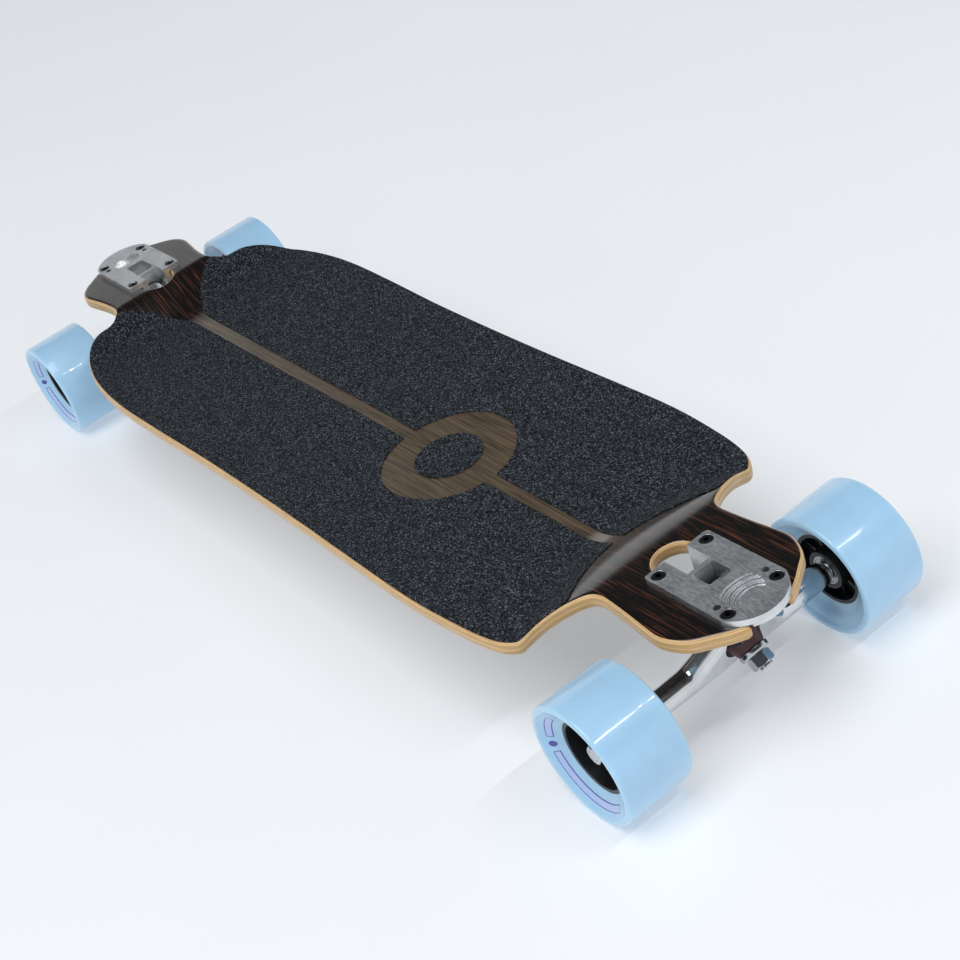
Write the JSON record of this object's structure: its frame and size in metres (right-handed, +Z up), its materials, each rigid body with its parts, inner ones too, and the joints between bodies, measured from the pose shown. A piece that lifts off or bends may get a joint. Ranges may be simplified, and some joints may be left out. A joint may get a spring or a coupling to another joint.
{
  "type": "longboard skateboard",
  "caption": "Drop-through longboard with a dropped concave deck, reverse-kingpin trucks and light blue wheels on black cores; unpowered.",
  "frame": {"origin": "on the ground, midway between the four wheels", "axes": "+X to the nose, +Y to the left, +Z up"},
  "size_m": [0.9236, 0.2592, 0.1081],
  "materials": {
    "plies": "clear-coated light plies",
    "veneer": "satin lacquered dark wood veneer",
    "grip": "coarse abrasive grip sheet",
    "cast_aluminium": "satin machined casting",
    "polished_aluminium": "polished",
    "steel": "bright zinc plated steel",
    "black_steel": "black oxide",
    "bushing": "dark red urethane",
    "pivot_cup": "black urethane",
    "urethane": "light blue cast urethane",
    "core": "black moulded core"
  },
  "bodies": {
    "board": {"deck_core": "plies", "top_veneer": "veneer", "grip_left": "grip", "grip_right": "grip", "grip_dot": "grip", "front_baseplate": "cast_aluminium", "front_pivot_cup": "pivot_cup", "front_kingpin": "steel", "front_kingpin_nut": "steel", "front_bushing_deck_side": "bushing", "front_bushing_road_side": "bushing", "front_washer": "steel", "front_bolt_1": "black_steel", "front_bolt_nut_1": "black_steel", "front_bolt_2": "black_steel", "front_bolt_nut_2": "black_steel", "front_bolt_3": "black_steel", "front_bolt_nut_3": "black_steel", "front_bolt_4": "black_steel", "front_bolt_nut_4": "black_steel", "rear_baseplate": "cast_aluminium", "rear_pivot_cup": "pivot_cup", "rear_kingpin": "steel", "rear_kingpin_nut": "steel", "rear_bushing_deck_side": "bushing", "rear_bushing_road_side": "bushing", "rear_washer": "steel", "rear_bolt_1": "black_steel", "rear_bolt_nut_1": "black_steel", "rear_bolt_2": "black_steel", "rear_bolt_nut_2": "black_steel", "rear_bolt_3": "black_steel", "rear_bolt_nut_3": "black_steel", "rear_bolt_4": "black_steel", "rear_bolt_nut_4": "black_steel"},
    "front_hanger": {"front_hanger": "polished_aluminium", "front_axle": "steel", "front_axle_nut_left": "steel", "front_axle_nut_right": "steel"},
    "front_left_wheel": {"front_left_tyre": "urethane", "front_left_core": "core", "front_left_bearing_inner": "steel", "front_left_bearing_outer": "steel"},
    "front_right_wheel": {"front_right_tyre": "urethane", "front_right_core": "core", "front_right_bearing_inner": "steel", "front_right_bearing_outer": "steel"},
    "rear_hanger": {"rear_hanger": "polished_aluminium", "rear_axle": "steel", "rear_axle_nut_left": "steel", "rear_axle_nut_right": "steel"},
    "rear_left_wheel": {"rear_left_tyre": "urethane", "rear_left_core": "core", "rear_left_bearing_inner": "steel", "rear_left_bearing_outer": "steel"},
    "rear_right_wheel": {"rear_right_tyre": "urethane", "rear_right_core": "core", "rear_right_bearing_inner": "steel", "rear_right_bearing_outer": "steel"}
  },
  "joints": [
    {"name": "front_steer", "type": "hinge", "parent": "board", "child": "front_hanger", "pos_m": [0.41127, 0, 0.06623], "axis": [0.6428, 0, 0.766], "range_deg": [-13, 13], "stiffness_Nm_per_rad": 30, "deforming": ["front_bushing_deck_side", "front_bushing_road_side"]},
    {"name": "front_left_roll", "type": "hinge", "parent": "front_hanger", "child": "front_left_wheel", "pos_m": [0.4039, 0.10335, 0.045], "axis": [0, 1, 0], "continuous": true},
    {"name": "front_right_roll", "type": "hinge", "parent": "front_hanger", "child": "front_right_wheel", "pos_m": [0.4039, -0.10335, 0.045], "axis": [0, 1, 0], "continuous": true},
    {"name": "rear_steer", "type": "hinge", "parent": "board", "child": "rear_hanger", "pos_m": [-0.41127, 0, 0.06623], "axis": [-0.6428, 0, 0.766], "range_deg": [-13, 13], "stiffness_Nm_per_rad": 30, "deforming": ["rear_bushing_deck_side", "rear_bushing_road_side"]},
    {"name": "rear_left_roll", "type": "hinge", "parent": "rear_hanger", "child": "rear_left_wheel", "pos_m": [-0.4039, 0.10335, 0.045], "axis": [0, 1, 0], "continuous": true},
    {"name": "rear_right_roll", "type": "hinge", "parent": "rear_hanger", "child": "rear_right_wheel", "pos_m": [-0.4039, -0.10335, 0.045], "axis": [0, 1, 0], "continuous": true}
  ]
}
